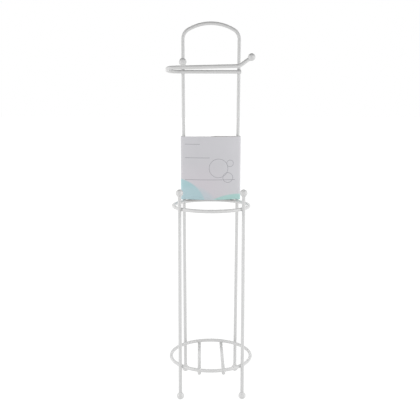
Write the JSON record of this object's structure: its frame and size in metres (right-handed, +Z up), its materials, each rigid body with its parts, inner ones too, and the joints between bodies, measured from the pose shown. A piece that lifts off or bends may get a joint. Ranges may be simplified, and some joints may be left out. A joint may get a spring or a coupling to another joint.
{
  "type": "free-standing toilet roll holder",
  "caption": "Free-standing wire holder: an arm for one toilet roll above an open column for spare rolls, with a loose card sleeve on its uprights.",
  "frame": {"origin": "on the floor, on the axis of the two rings", "axes": "+Z up, -Y to the front, where the roll arm and the front legs are, +X to the right seen from the front"},
  "size_m": [0.1551, 0.151, 0.6569],
  "materials": {
    "white_coat": "smooth semi-gloss powder coat on steel wire",
    "card": "printed card with a light sheen"
  },
  "bodies": {
    "stand": {"arch_frame": "white_coat", "upper_ring": "white_coat", "lower_ring": "white_coat", "front_leg_left": "white_coat", "front_leg_right": "white_coat", "base_wire_left": "white_coat", "base_wire_right": "white_coat", "roll_arm": "white_coat", "arm_end_ball": "white_coat", "arm_stop_ball": "white_coat", "finial_ball_left": "white_coat", "finial_ball_right": "white_coat", "foot_ball_front_left": "white_coat", "foot_ball_front_right": "white_coat", "foot_ball_back_left": "white_coat", "foot_ball_back_right": "white_coat", "upper_ring_welds": "white_coat", "lower_ring_welds": "white_coat", "base_wire_welds": "white_coat", "rail_welds": "white_coat", "stop_ball_weld": "white_coat"},
    "card_sleeve": {"card_sleeve": "card"}
  },
  "joints": [
    {"name": "card_slide", "type": "slide", "parent": "stand", "child": "card_sleeve", "axis": [0, -0.0309, 0.9995], "range_m": [0, 0.108]}
  ]
}
